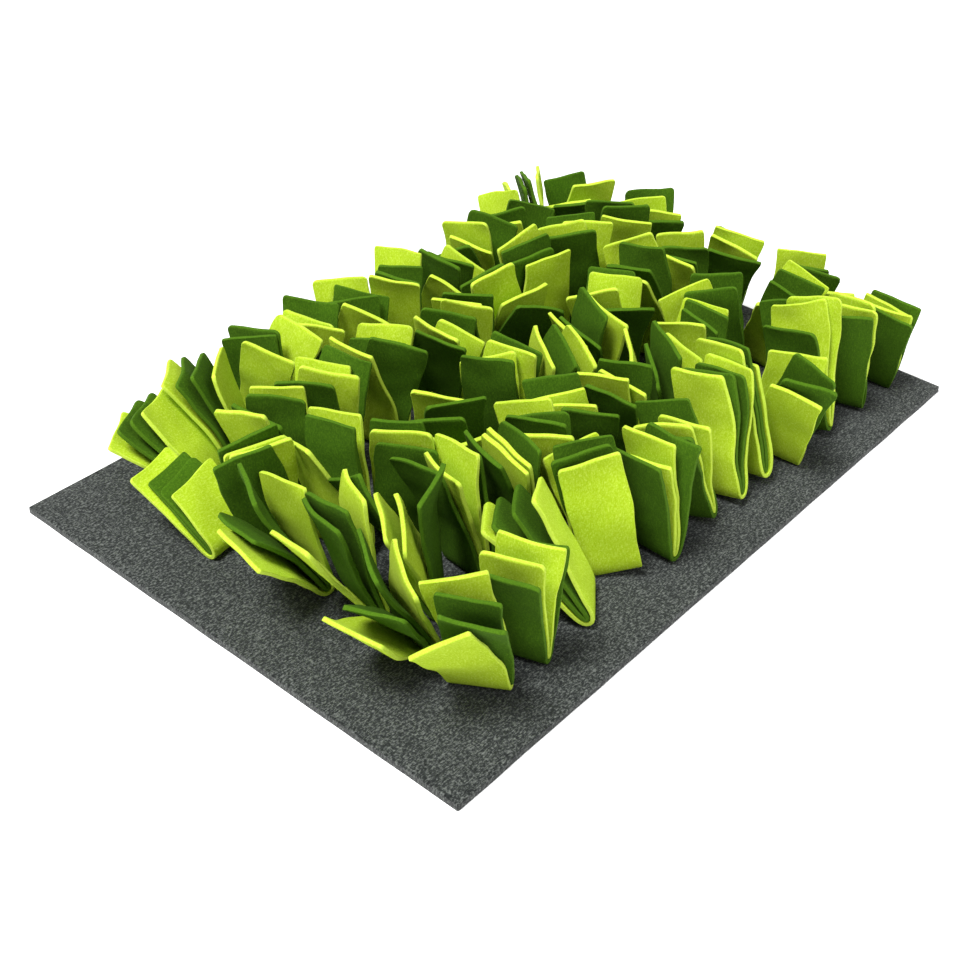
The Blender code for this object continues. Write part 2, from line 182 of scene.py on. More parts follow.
# Studio
FLOOR_SIZE_M = 40.0
FLOOR_COLOUR = (0.9, 0.9, 0.9)
FLOOR_ROUGHNESS = 0.9
SKY_COLOUR = (1.0, 1.0, 1.0)
SKY_STRENGTH = 0.38
LAMP_COLUMNS = ("name", "azimuth", "elevation", "spread", "strength")
LAMPS = (
    ("key", 165.0, 66.0, 19.0, 4.9),
    ("front", -100.0, 45.0, 24.0, 1.1),
)
CAMERA_AZIMUTH_DEG = -141.458
CAMERA_ELEVATION_DEG = 36.866
CAMERA_ROLL_DEG = 2.987
CAMERA_OFFSET_MM = (-19.87, -21.74, 835.45)   # along its own right, up and back
SENSOR_MM = 36.0
LENS_MM = 54.28

# Every tuft, row by row from the front: where it is sewn, the turn of its width about Z (from +Y),
# the lean of the whole tuft towards its own +X side, its sway towards its own +Y side, the half
# angle between its outer ends, the bend of their tips, the free length and the outside strip.
TUFT_COLUMNS = ("name", "x", "y", "turn", "lean", "sway", "fan", "curl", "length", "outer")
TUFTS = (
    ("a01", -164, -110, 28, -5, 6, 16, 8, 66, "light"),
    ("a02", -136, -111, 18, -16, 3, 10, 0, 66, "dark"),
    ("a03", -88, -114, -50, -42, 8, 14, 0, 68, "light"),
    ("a04", -58, -106, 42, 13, 12, 9, 0, 70, "light"),
    ("a05", -28, -111, -3, -1, 3, 12, 0, 66, "dark"),
    ("a06", 9, -108, 20, -17, 14, 10, 12, 66, "dark"),
    ("a07", 36, -110, 2, 7, 16, 9, 0, 70, "light"),
    ("a08", 64, -109, -8, 15, 16, 8, 0, 70, "light"),
    ("a09", 90, -113, 10, -23, -4, 16, -8, 62, "light"),
    ("a10", 126, -112, 8, 0, 14, 12, 0, 70, "dark"),
    ("a11", 163, -112, 15, -5, 3, 12, 6, 63, "dark"),
    ("a12", 200, -112, 10, -14, -12, 6, 8, 56, "dark"),
    ("b01", -163, -68, -10, -30, -14, 18, 10, 66, "light"),
    ("b02", -161, -34, -12, -21, 10, 15, 8, 66, "light"),
    ("b03", -134, -56, -45, -25, 0, 14, 0, 70, "dark"),
    ("b04", -106, -54, -10, 3, 4, 10, 10, 68, "dark"),
    ("b05", -75, -54, 0, -17, -8, 8, 0, 66, "dark"),
    ("b06", -43, -53, 30, -13, 4, 14, 0, 66, "light"),
    ("b07", -14, -54, 40, -13, 14, 12, 6, 66, "dark"),
    ("b08", 16, -55, 12, -11, 4, 14, 0, 66, "dark"),
    ("b09", 54, -55, -30, -10, -14, 11, 4, 66, "light"),
    ("b10", 92, -55, 10, -9, 1, 14, 8, 66, "light"),
    ("b11", 130, -51, 42, 5, 24, 10, 0, 66, "dark"),
    ("b12", 169, -54, 4, -6, -16, 10, 6, 64, "light"),
    ("b13", 204, -54, 45, -20, 2, 8, 0, 57, "light"),
    ("c01", -165, 0, -10, -25, -8, 16, 8, 66, "light"),
    ("c02", -160, 30, 65, -8, 2, 8, 0, 66, "dark"),
    ("c03", -134, 6, 5, 5, 4, 14, 6, 66, "light"),
    ("c04", -106, -10, 32, -5, -3, 12, 0, 66, "dark"),
    ("c05", -60, 2, 45, -25, 3, 19, -10, 64, "light"),
    ("c06", -19, 2, 20, 3, -3, 16, 4, 66, "dark"),
    ("c07", 18, 2, -20, -5, -22, 11, 0, 66, "light"),
    ("c08", 55, 2, -20, 1, -12, 12, 6, 66, "light"),
    ("c09", 92, 2, 30, -13, 12, 10, 10, 66, "dark"),
    ("c10", 130, 2, 30, -5, 9, 15, 0, 66, "light"),
    ("c11", 168, 2, 20, -9, 4, 14, 6, 61, "light"),
    ("c12", 205, 2, 10, -17, -12, 18, 8, 60, "dark"),
    ("d01", -173, 50, -86, -52, 0, 18, 0, 60, "light"),
    ("d02", -130, 57, 12, -11, -8, 16, 6, 66, "light"),
    ("d03", -102, 58, 32, -5, 0, 14, 4, 66, "dark"),
    ("d04", -56, 56, 20, 3, -4, 12, 0, 66, "light"),
    ("d05", -12, 54, 12, -17, -12, 12, 6, 66, "dark"),
    ("d06", 20, 59, 20, -7, -2, 15, 0, 66, "dark"),
    ("d07", 56, 59, 60, -18, 4, 16, 6, 66, "dark"),
    ("d08", 94, 59, 70, -21, 22, 14, 0, 66, "light"),
    ("d09", 129, 58, 42, -6, 8, 12, 0, 66, "dark"),
    ("d10", 168, 56, 45, -5, 4, 12, 0, 66, "light"),
    ("d11", 204, 55, 30, -5, 6, 16, 6, 56, "dark"),
    ("e01", -146, 93, -50, -40, -4, 8, 0, 58, "light"),
    ("e02", -120, 98, -48, -24, 4, 10, 0, 60, "light"),
    ("e03", -92, 110, 19, 0, -4, 10, 0, 60, "light"),
    ("e04", -58, 114, 30, -3, 0, 16, 0, 58, "dark"),
    ("e05", -21, 114, 40, 3, -4, 16, 6, 58, "light"),
    ("e06", 19, 115, 30, -7, 2, 14, 4, 56, "light"),
    ("e07", 57, 115, 15, -22, -10, 18, 0, 57, "light"),
    ("e08", 96, 115, 30, -15, 5, 16, 6, 56, "dark"),
    ("e09", 133, 115, 29, -3, 3, 16, 0, 57, "light"),
    ("e10", 167, 114, -35, -14, 14, 8, 0, 60, "light"),
    ("e11", 205, 114, 40, -19, 8, 18, 8, 54, "dark"),
)

# Ends that stand out from their tuft: end number from the tuft's -X side, lean, sway and twist
# in all, the bend of the tip and the free length.
END_COLUMNS = ("tuft", "end", "lean", "sway", "twist", "curl", "length")
SINGLE_ENDS = (
    ("a01", 0, -28, 13, 34, -6, 66),
    ("a02", 0, -26, 2, 0, 0, 66),
    ("a02", 1, -14, 3, 0, 0, 68),
    ("a03", 0, -60, 12, 0, -10, 70),
    ("a03", 1, -50, 11, 0, -8, 68),
    ("a03", 2, -41, 10, 0, -6, 68),
    ("a03", 3, -32, 9, 0, -4, 68),
    ("a04", 0, 6, 12, 0, 0, 70),
    ("a05", 0, -14, 3, 0, 0, 66),
    ("a06", 0, -29, 15, 5, 0, 66),
    ("a06", 1, -19, 18, 15, 0, 66),
    ("a07", 0, 3, 17, 0, 0, 72),
    ("a08", 0, 16, 18, -4, 0, 76),
    ("a09", 0, -45, -6, 0, 0, 60),
    ("a10", 0, -12, 14, -5, 0, 68),
    ("a10", 1, 8, 16, 4, 0, 74),
    ("a11", 0, -15, 3, 10, 0, 66),
    ("a11", 1, -5, 1, -10, 0, 66),
    ("a12", 0, -19, -8, -10, -8, 62),
    ("a12", 1, -9, -4, 0, 0, 54),
    ("a12", 2, 0, -2, 0, 0, 50),
    ("b01", 0, -54, -22, 10, 20, 68),
    ("b02", 0, -40, 14, 5, 6, 66),
    ("b03", 0, -42, 38, 60, 0, 74),
    ("b03", 1, -30, -14, 0, 0, 68),
    ("b03", 2, -20, -22, 0, 0, 68),
    ("b04", 0, -6, 8, 20, -8, 70),
    ("b08", 0, -26, -3, -6, 0, 66),
    ("b08", 1, -12, 6, 8, 0, 66),
    ("c01", 0, -40, -18, -5, 0, 66),
    ("c05", 0, -50, 3, 15, 10, 66),
    ("c12", 2, -14, -10, 20, 10, 58),
    ("c12", 3, -4, -8, 0, 0, 50),
    ("d01", 0, -76, 6, 0, 8, 56),
    ("d01", 1, -68, 4, 0, 2, 48),
    ("d01", 2, -60, 0, 0, 0, 42),
    ("d01", 3, -52, 0, 0, 0, 36),
    ("e01", 0, -50, -8, 0, -8, 58),
    ("e01", 1, -43, -8, 0, -6, 58),
    ("e01", 2, -37, -8, 0, -4, 56),
    ("e01", 3, -31, -8, 0, -2, 54),
    ("e02", 0, -34, 4, 0, -12, 62),
    ("e02", 1, -28, 4, 0, -10, 60),
    ("e02", 2, -21, 4, 0, -8, 60),
    ("e02", 3, -13, 4, 0, -6, 58),
    ("e10", 0, -22, 17, 0, 0, 62),
    ("e10", 1, -11, 15, 0, 0, 62),
    ("e03", 0, -6, -12, 0, 0, 60),
    ("e03", 1, -4, 10, 20, 0, 60),
)


def rotation(degrees, axis):
    return Matrix.Rotation(math.radians(degrees), 4, axis)


def shift(x, y, z):
    return Matrix.Translation(Vector((x, y, z)) * MM)


def listed(columns, rows):
    """Rows of a table as dictionaries under its column names."""
    return [dict(zip(columns, row)) for row in rows]


def tuft_ends(tuft, singles):
    """The four ends' own bends, measured from the tuft's common lean."""
    random = Random(tuft["name"])
    ends = []
    for k in range(ENDS):
        side = -1 if k < 2 else 1
        end = {
            "tuft": tuft["name"],
            "name": f"{tuft['name']}_{k}",
            "number": k,
            "hold": False,
            "ease": 0.0,
            "offset": (k - (ENDS - 1) / 2) * (FELT_MM + LAYER_GAP_MM),
            "lean": tuft["fan"] * FAN_SHARE[k] + random.uniform(-1, 1) * UNEVEN_LEAN_DEG,
            "sway": random.uniform(-1, 1) * UNEVEN_SWAY_DEG,
            "twist": random.uniform(-1, 1) * UNEVEN_TWIST_DEG,
            "curl": side * tuft["curl"] + random.uniform(-1, 1) * UNEVEN_CURL_DEG,
            "length": tuft["length"] * (1 + random.uniform(-1, 1) * UNEVEN_LENGTH),
        }
        for single in singles:
            if single["tuft"] == tuft["name"] and single["end"] == k:
                end["hold"] = True
                end["lean"] = single["lean"] - tuft["lean"]
                end["sway"] = single["sway"] - tuft["sway"]
                for column in ("twist", "curl", "length"):
                    end[column] = single[column]
        ends.append(end)
    return ends


def bend_share(s):
    """Share of an end's lean that is reached at the fraction s of its length."""
    return BEND_AT_ROOT + (1 - BEND_AT_ROOT) * min(s / BEND_UNTIL, 1.0) ** BEND_POWER


def end_frames(tuft, end, every=FINE_STEPS // END_STEPS):
    """Frames along one end in tuft coordinates: z along the end, x through it, y across it."""
    keep = 1.0 - end["ease"]
    frame = shift(0, 0, FOLD_HEIGHT_MM)
    frame = frame @ rotation(tuft["lean"] * keep, "Y") @ rotation(-tuft["sway"] * keep, "X")
    frame = frame @ shift(end["offset"], 0, NECK_MM)
    step = (end["length"] - NECK_MM) / FINE_STEPS
    frames = [frame]
    lean = sway = twist = 0.0
    for i in range(FINE_STEPS):
        s = (i + 0.5) / FINE_STEPS
        new_lean = keep * (end["lean"] * bend_share(s) + end["curl"] * s * s)
        new_sway = keep * end["sway"] * bend_share(s)
        new_twist = keep * end["twist"] * s
        frame = frame @ rotation(new_lean - lean, "Y") @ rotation(sway - new_sway, "X")
        frame = frame @ rotation(new_twist - twist, "Z") @ shift(0, 0, step)
        lean, sway, twist = new_lean, new_sway, new_twist
        if (i + 1) % every == 0:
            frames.append(frame.copy())
    return frames


def tuft_place(tuft):
    root_z = BASE_THICKNESS_MM + SEAT_GAP_MM
    return shift(tuft["x"], tuft["y"], root_z) @ rotation(tuft["turn"], "Z")


def section_corners(frame, margin):
    """The four corners of an end's cross-section at one frame."""
    x = (FELT_MM / 2 + margin) * MM
    y = (STRIP_WIDTH_MM / 2 + margin) * MM
    return [frame @ Vector((i * x, j * y, 0)) for i, j in CORNER_SIGNS]


def end_shell(place, frames, margin):
    """Closed skin round one end, for finding what it would touch."""
    points = []
    for frame in frames:
        points += section_corners(place @ frame, margin)
    last = len(points) - 4
    faces = [(0, 1, 2, 3), (last, last + 1, last + 2, last + 3)]
    for low in range(0, last, 4):
        for k in range(4):
            faces.append((low + k, low + (k + 1) % 4, low + 4 + (k + 1) % 4, low + 4 + k))
    return points, faces


def fold_shell(place, margin):
    """Closed skin round a tuft's sewn fold."""
    x = (stack_mm() / 2 + margin) * MM
    y = (STRIP_WIDTH_MM / 2 + margin) * MM
    points = []
    for z in (0.0, (FOLD_HEIGHT_MM + margin) * MM):
        points += [place @ Vector((i * x, j * y, z)) for i, j in CORNER_SIGNS]
    faces = [(0, 1, 2, 3), (4, 5, 6, 7)]
    faces += [(k, (k + 1) % 4, 4 + (k + 1) % 4, 4 + k) for k in range(4)]
    return points, faces


def stack_mm():
    return ENDS * FELT_MM + (ENDS - 1) * LAYER_GAP_MM


def reach(points):
    low = Vector([min(p[i] for p in points) for i in range(3)])
    high = Vector([max(p[i] for p in points) for i in range(3)])
    return low, high


def apart(a, b):
    return any(a[0][i] > b[1][i] or b[0][i] > a[1][i] for i in range(3))


def fold_skins(tufts):
    skins = {}
    for name, tuft in tufts.items():
        points, faces = fold_shell(tuft_place(tuft), CLEAR_MM)
        skins[name] = (BVHTree.FromPolygons(points, faces), reach(points))
    return skins


def meet(a, b):
    return not apart(a[1], b[1]) and bool(a[0].overlap(b[0]))


def push_apart(tufts, a, b, step):
    """Leans end a away from end b by one step, about their tufts' own axes."""
    if a["tuft"] == b["tuft"]:
        a["lean"] += step if a["number"] > b["number"] else -step
        a["twist"] *= STRAIGHTEN
        a["sway"] *= STRAIGHTEN
        return
    here = tufts[a["tuft"]]
    other = tufts[b["tuft"]]
    away = Vector((here["x"] - other["x"], here["y"] - other["y"])).normalized()
    turn = math.radians(here["turn"])
    lean = step * (away.x * math.cos(turn) + away.y * math.sin(turn))
    sway = step * (away.y * math.cos(turn) - away.x * math.sin(turn))
    for moved, share in ((a, 1 - TUFT_SHARE), (here, TUFT_SHARE)):
        moved["lean"] += share * lean
        moved["sway"] += share * sway


def stand_up(tuft, end):
    """Brings an end a little nearer to upright."""
    for angle in ("lean", "sway"):
        end[angle] -= STAND_SHARE * (tuft[angle] + end[angle])


def end_skins(tufts, ends, stale, skins):
    for end in ends:
        if end["tuft"] in stale:
            tuft = tufts[end["tuft"]]
            points, faces = end_shell(tuft_place(tuft), end_frames(tuft, end), CLEAR_MM)
            skins[end["name"]] = (BVHTree.FromPolygons(points, faces), reach(points))


def rests(end, skin, folds):
    """Whether an end lies on the base or on another tuft's fold."""
    lowest = skin[1][0].z
    if lowest < (BASE_THICKNESS_MM + CLEAR_BASE_MM) * MM:
        return True
    return any(meet(skin, fold) for name, fold in folds.items() if name != end["tuft"])


def settle(tufts, ends):
    """Moves ends, a little at a time, until none touches another, a fold or the base.

    Two ends that touch lean away from each other, and a listed end moves less than its
    neighbours. An end that lies on a fold or the base stands up. What still touches after
    the pushing rounds straightens too.
    """
    folds = fold_skins(tufts)
    skins = {}
    stale = set(tufts)
    for round_number in range(PUSH_ROUNDS + EASE_ROUNDS):
        end_skins(tufts, ends, stale, skins)
        pairs = [(a, b) for i, a in enumerate(ends) for b in ends[i + 1:]
                 if meet(skins[a["name"]], skins[b["name"]])]
        resting = [end for end in ends if rests(end, skins[end["name"]], folds)]
        if not pairs and not resting:
            break
        for end in resting:
            stand_up(tufts[end["tuft"]], end)
        for a, b in pairs:
            for one, two in ((a, b), (b, a)):
                held = one["hold"] and not two["hold"]
                push_apart(tufts, one, two, PUSH_DEG * (HELD_SHARE if held else 1))
                if round_number >= PUSH_ROUNDS:
                    one["ease"] = min(1.0, one["ease"] + EASE_STEP)
        stale = {end["tuft"] for end in resting}
        stale |= {end["tuft"] for pair in pairs for end in pair}


# ---------------------------------------------------------------- felt strips


def end_stations(place, tuft, end, outward):
    """Middle point, outward normal, across direction and distance from the tip along one end."""
    frames = [place @ frame for frame in end_frames(tuft, end, 1)]
    step = (end["length"] - NECK_MM) / FINE_STEPS
    stations = []
    for i, frame in enumerate(frames):
        normal = frame.to_3x3() @ Vector((outward, 0, 0))
        across = frame.to_3x3() @ Vector((0, 1, 0))
        stations.append([frame.translation, normal, across, (FINE_STEPS - i) * step])
    return stations


def fold_stations(place, tuft, ends, half, deep):
    """The rounded fold under two ends of one strip, from the -X end to the +X end."""
    roots = []
    for end in ends:
        keep = 1.0 - end["ease"]
        lean = rotation(tuft["lean"] * keep, "Y")
        sway = rotation(-tuft["sway"] * keep, "X")
        roots.append(place @ shift(0, 0, FOLD_HEIGHT_MM) @ lean @ sway)
    stations = []
    for i in range(1, FOLD_STEPS):
        share = i / FOLD_STEPS
        angle = math.pi * (1 + share)
        point = Vector((half * math.cos(angle), 0, NECK_MM + deep * math.sin(angle))) * MM
        normal = Vector((math.cos(angle) / half, 0, math.sin(angle) / deep)).normalized()
        middle = (roots[0] @ point).lerp(roots[1] @ point, share)
        out = (roots[0].to_3x3() @ normal).lerp(roots[1].to_3x3() @ normal, share)
        across = roots[0].to_3x3() @ Vector((0, 1, 0))
        stations.append([middle, out.normalized(), across, FAR_FROM_TIP_MM])
    return stations


def tip_stations(stations, round_mm):
    """Adds closer stations at a strip's tip, where its corners are rounded."""
    last, before = stations[-1], stations[-2]
    step = before[3]
    added = []
    for share in TIP_SHARES:
        part = 1 - round_mm * share / step
        added.append([before[k].lerp(last[k], part) for k in (0, 1, 2)] + [round_mm * share])
    return stations[:-1] + added


def eased(stations):
    """Takes the sharp bends out of a run of stations."""
    for _ in range(SMOOTH_ROUNDS):
        old = [list(s) for s in stations]
        for i in range(1, len(stations) - 1):
            for k in (0, 1, 2):
                around = (old[i - 1][k] + old[i + 1][k]) / 2
                stations[i][k] = old[i][k].lerp(around, SMOOTH_SHARE)
            stations[i][1] = stations[i][1].normalized()
            stations[i][2] = stations[i][2].normalized()
    return stations


def ring(station, half_width, skew, cup, round_mm):
    """One cross-section of a strip: its outer side, cut edge, inner side and other cut edge."""
    middle, normal, across, from_tip = station
    corner = max(0.0, 1 - from_tip / round_mm)
    half = half_width - round_mm * (1 - math.sqrt(max(0.0, 1 - corner * corner)))
    thick = FELT_MM / 2
    if from_tip <= 0.0:
        thick -= EDGE_ROUND_MM
    along = normal.cross(across).normalized()
    free = max(0.0, 1 - from_tip / CUP_LENGTH_MM)
    points = []

    def put(u, v, fuzz_and_highlight):
        dish = cup * free * ((u / half_width) ** 2 - CUP_MEAN)
        shear = skew * free * u
        place = middle + across * (u * MM) + normal * ((v + dish) * MM) + along * (shear * MM)
        points.append((place, fuzz_and_highlight))

    sides = [(-1 + 2 * j / ACROSS) * (half - EDGE_ROUND_MM) for j in range(ACROSS + 1)]
    for u in sides:
        put(u, thick, 0.0)
    # the cut edges are marked 1.0 for their painted highlight and paler fuzz
    put(half, thick - EDGE_ROUND_MM, 1.0)
    put(half, EDGE_ROUND_MM - thick, 1.0)
    for u in reversed(sides):
        put(u, -thick, 0.0)
    put(-half, EDGE_ROUND_MM - thick, 1.0)
    put(-half, thick - EDGE_ROUND_MM, 1.0)
    return points


def wave(point):
    """How the felt near a point is pushed about, the same for all the layers that lie there."""
    z = point.z / MM - BASE_THICKNESS_MM
    free = min(1.0, max(0.0, (z - WAVE_FROM_MM) / WAVE_OVER_MM))
    push = Vector((0, 0, 0))
    for size, height in WAVES:
        push += noise.noise_vector(point / (size * MM)) * height
    return push * (free * MM)


def lifted(point):
    """Felt never goes into the base."""
    floor = (BASE_THICKNESS_MM + FOLD_REST_MM) * MM
    return Vector((point.x, point.y, max(point.z, floor)))


def finish_mesh(mesh, fuzz_and_highlight_marks):
    """Smooth felt with crisp edges, and the cut faces marked for a painted edge highlight that
    also stands for their paler fuzz.
    """
    mesh.shade_smooth()
    mesh.set_sharp_from_angle(angle=math.radians(SHARP_DEG))
    # this mark carries the painted highlight along the cut edges, partly their paler fuzz
    attribute = mesh.attributes.new("edge_fuzz_and_highlight", "FLOAT", "POINT")
    attribute.data.foreach_set("value", fuzz_and_highlight_marks)


def strip_mesh(name, stations, half_width, skews, cup, rounds):
    """The closed felt of one strip: a ring at every station, and the cut at both tips."""
    middle = len(stations) // 2
    verts = []
    fuzz_and_highlight_marks = []
    for i, station in enumerate(stations):
        side = 0 if i < middle else 1
        wide = half_width + EDGE_UNEVEN_MM * noise.noise(station[0] / (EDGE_WAVE_MM * MM))
        for point, fuzz_and_highlight in ring(station, wide, skews[side], cup, rounds[side]):
            verts.append(lifted(point + wave(point)))
            fuzz_and_highlight_marks.append(fuzz_and_highlight)
    around = 2 * (ACROSS + 1) + 4
    faces = []
    for i in range(len(stations) - 1):
        for k in range(around):
            a = i * around + k
            b = i * around + (k + 1) % around
            faces.append((a, b, b + around, a + around))
    for start, flip in ((0, False), ((len(stations) - 1) * around, True)):
        for j in range(ACROSS):
            face = [start + j, start + 2 * ACROSS + 3 - j, start + 2 * ACROSS + 2 - j,
                    start + j + 1]
            cap = face if not flip else list(reversed(face))
            faces.append(tuple(cap))
            # the tips' cut faces get part of the painted edge highlight and paler fuzz
            for index in face:
                fuzz_and_highlight_marks[index] = TIP_FUZZ_AND_HIGHLIGHT
        right = (start + ACROSS, start + ACROSS + 3, start + ACROSS + 2, start + ACROSS + 1)
        left = (start + around - 1, start + around - 2, start + around - 3, start)
        for face in (right, left):
            faces.append(face if not flip else tuple(reversed(face)))
    mesh = bpy.data.meshes.new(name)
    mesh.from_pydata([tuple(v) for v in verts], [], faces)
    mesh.update()
    bm = bmesh.new()
    bm.from_mesh(mesh)
    bmesh.ops.recalc_face_normals(bm, faces=bm.faces)
    bm.to_mesh(mesh)
    bm.free()
    finish_mesh(mesh, fuzz_and_highlight_marks)
    return mesh


def strip(tuft, pair, half, deep, felt, slot, label):
    """One felt strip folded in half: two ends of the tuft joined by the fold."""
    random = Random(f"{tuft['name']} {label}")
    place = tuft_place(tuft)
    rounds = [random.uniform(*TIP_ROUND_MM) for _ in pair]
    skews = [random.uniform(-1, 1) * SKEW for _ in pair]
    cup = random.uniform(-1, 1) * CUP_MM
    half_width = STRIP_WIDTH_MM / 2 + random.uniform(*WIDTH_SPREAD_MM)
    first = tip_stations(end_stations(place, tuft, pair[0], -1), rounds[0])
    second = tip_stations(end_stations(place, tuft, pair[1], 1), rounds[1])
    fold = fold_stations(place, tuft, pair, half, deep)
    stations = eased([*reversed(first), *fold, *second])
    mesh = strip_mesh(f"strip_{tuft['name']}_{label}", stations, half_width, skews, cup, rounds)
    mesh.materials.append(felt)
    thing = bpy.data.objects.new(mesh.name, mesh)
    bpy.context.scene.collection.objects.link(thing)
    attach(thing, "root")
    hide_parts(f"tuft_{tuft['name']}")
    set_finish(thing, slot)
    length = sum(end["length"] for end in pair) + math.pi * (half + deep) / 2 - 2 * NECK_MM
    return thing, (2 * half_width * MM, length * MM)


def make_strips(felts):
    tufts = {tuft["name"]: tuft for tuft in listed(TUFT_COLUMNS, TUFTS)}
    singles = listed(END_COLUMNS, SINGLE_ENDS)
    ends = [end for tuft in tufts.values() for end in tuft_ends(tuft, singles)]
    settle(tufts, ends)
    pitch = FELT_MM + LAYER_GAP_MM
    deep = NECK_MM + FOLD_HEIGHT_MM - FELT_MM / 2
    made = []
    for name, tuft in tufts.items():
        own = [end for end in ends if end["tuft"] == name]
        inside = "dark" if tuft["outer"] == "light" else "light"
        outer, flat_outer = strip(tuft, (own[0], own[3]), OUTER_PITCHES * pitch, deep,
                                  felts[tuft["outer"]], f"{tuft['outer']}_felt", "outer")
        inner, flat_inner = strip(tuft, (own[1], own[2]), INNER_PITCHES * pitch, deep - pitch,
                                  felts[inside], f"{inside}_felt", "inner")
        made.append((outer, flat_outer, inner, flat_inner))
    return made


# ---------------------------------------------------------------- base


def grid_lines(length):
    """Where the base is divided along one side: closer at the two cut edges."""
    half = length / 2
    count = round((length - 2 * BASE_EDGE_MM) / BASE_GRID_MM)
    inside = [-half + BASE_EDGE_MM + (length - 2 * BASE_EDGE_MM) * i / count
              for i in range(count + 1)]
    return [-half, *inside, half]


def make_base_felt(felt):
    """The base, with slightly wavy cut edges and a surface that isn't quite even."""
    xs = grid_lines(BASE_LENGTH_MM)
    ys = grid_lines(BASE_WIDTH_MM)
    verts = []
    fuzz_and_highlight_marks = []
    for top in (True, False):
        for j, y in enumerate(ys):
            for i, x in enumerate(xs):
                edge_x = i in (0, len(xs) - 1)
                edge_y = j in (0, len(ys) - 1)
                rough = noise.noise_vector(Vector((x, y, 0.0)) / BASE_WAVE_MM)
                px = x - math.copysign(BASE_UNEVEN_MM * (1 + rough.x), x) * edge_x
                py = y - math.copysign(BASE_UNEVEN_MM * (1 + rough.y), y) * edge_y
                if edge_x and edge_y:
                    px -= math.copysign(BASE_EDGE_MM / 2, x)
                    py -= math.copysign(BASE_EDGE_MM / 2, y)
                z = 0.0
                if top:
                    z = BASE_THICKNESS_MM + BASE_RISE_MM * rough.z
                if edge_x or edge_y:
                    z += -BASE_EDGE_MM / 2 if top else 0.0
                verts.append((px * MM, py * MM, z * MM))
                # the base's cut edges are marked for the painted edge highlight too; the marled
                # felt does not read the mark
                fuzz_and_highlight_marks.append(1.0 if edge_x or edge_y else 0.0)
    wide = len(xs)
    layer = wide * len(ys)
    faces = []
    for j in range(len(ys) - 1):
        for i in range(wide - 1):
            a = j * wide + i
            faces.append((a, a + 1, a + 1 + wide, a + wide))
            faces.append((a + layer, a + wide + layer, a + 1 + wide + layer, a + 1 + layer))
    rim = [*range(wide), *range(2 * wide - 1, layer, wide),
           *range(layer - 2, layer - wide - 1, -1), *range(layer - 2 * wide, 0, -wide)]
    for k, a in enumerate(rim):
        b = rim[(k + 1) % len(rim)]
        faces.append((a, a + layer, b + layer, b))
    mesh = bpy.data.meshes.new("base_cloth")
    mesh.from_pydata(verts, [], faces)
    mesh.update()
    finish_mesh(mesh, fuzz_and_highlight_marks)
    mesh.materials.append(felt)
    thing = bpy.data.objects.new("base_cloth", mesh)
    bpy.context.scene.collection.objects.link(thing)
    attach(thing, "root")
    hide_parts("base")
    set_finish(thing, "base_felt")
    return thing


# ---------------------------------------------------------------- nap


def nap_points(thing, count, random):
    """Points spread evenly over a piece's felt, with the direction that faces out there."""
    mesh = thing.data
    weights = [face.area for face in mesh.polygons]
    for face in random.choices(mesh.polygons, weights=weights, k=count):
        corners = [mesh.vertices[i].co for i in face.vertices]
        u = random.random()
        v = random.random()
        low = corners[0].lerp(corners[1], u)
        high = corners[3].lerp(corners[2], u) if len(corners) == 4 else corners[2]
        yield low.lerp(high, v), face.normal


def make_nap(name, things, per_square_mm, felt, slot):
    """Short loose fibres that stand off the felt, all of one colour in one mesh."""
    random = Random(name)
    verts = []
    faces = []
    for thing in things:
        area = sum(face.area for face in thing.data.polygons) / MM ** 2
        for point, normal in nap_points(thing, int(area * per_square_mm), random):
            stray = Vector([random.uniform(-1, 1) for _ in range(3)])
            along = (normal + stray * NAP_STRAY).normalized()
            side = along.cross(stray).normalized() * (NAP_THICK_MM * MM / 2)
            length = random.uniform(*NAP_LENGTH_MM) * MM
            first = len(verts)
            verts += [point - side, point + side, point + along * length]
            faces.append((first, first + 1, first + 2))
    mesh = bpy.data.meshes.new(name)
    mesh.from_pydata([tuple(v) for v in verts], [], faces)
    mesh.materials.append(felt)
    nap = bpy.data.objects.new(name, mesh)
    bpy.context.scene.collection.objects.link(nap)
    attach(nap, "root")
    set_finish(nap, slot)
    return nap


# ---------------------------------------------------------------- materials


def new_material(name):
    made = bpy.data.materials.new(name)
    made.use_nodes = True
    return made, made.node_tree, made.node_tree.nodes["Principled BSDF"]


def node(tree, kind, **inputs):
    made = tree.nodes.new(kind)
    for name, value in inputs.items():
        made.inputs[name.replace("_", " ")].default_value = value
    return made


def noise_node(tree, place, scale, detail, rough, stretch=None):
    """Noise of a given scale per metre, drawn out along one direction if stretch is given."""
    source = place
    if stretch:
        mapping = tree.nodes.new("ShaderNodeMapping")
        mapping.inputs["Scale"].default_value = stretch
        mapping.inputs["Rotation"].default_value = STRAND_TURN
        tree.links.new(place, mapping.inputs["Vector"])
        source = mapping.outputs["Vector"]
    made = node(tree, "ShaderNodeTexNoise", Scale=scale, Detail=detail, Roughness=rough)
    tree.links.new(source, made.inputs["Vector"])
    return made.outputs["Fac"]


def ramp(tree, value, stops):
    stops = list(stops)
    made = tree.nodes.new("ShaderNodeValToRGB")
    elements = made.color_ramp.elements
    while len(elements) < len(stops):
        elements.new(0.5)
    for element, (position, colour) in zip(elements, stops):
        element.position = position
        element.color = (*colour, 1.0)
    tree.links.new(value, made.inputs["Fac"])
    return made.outputs["Color"]


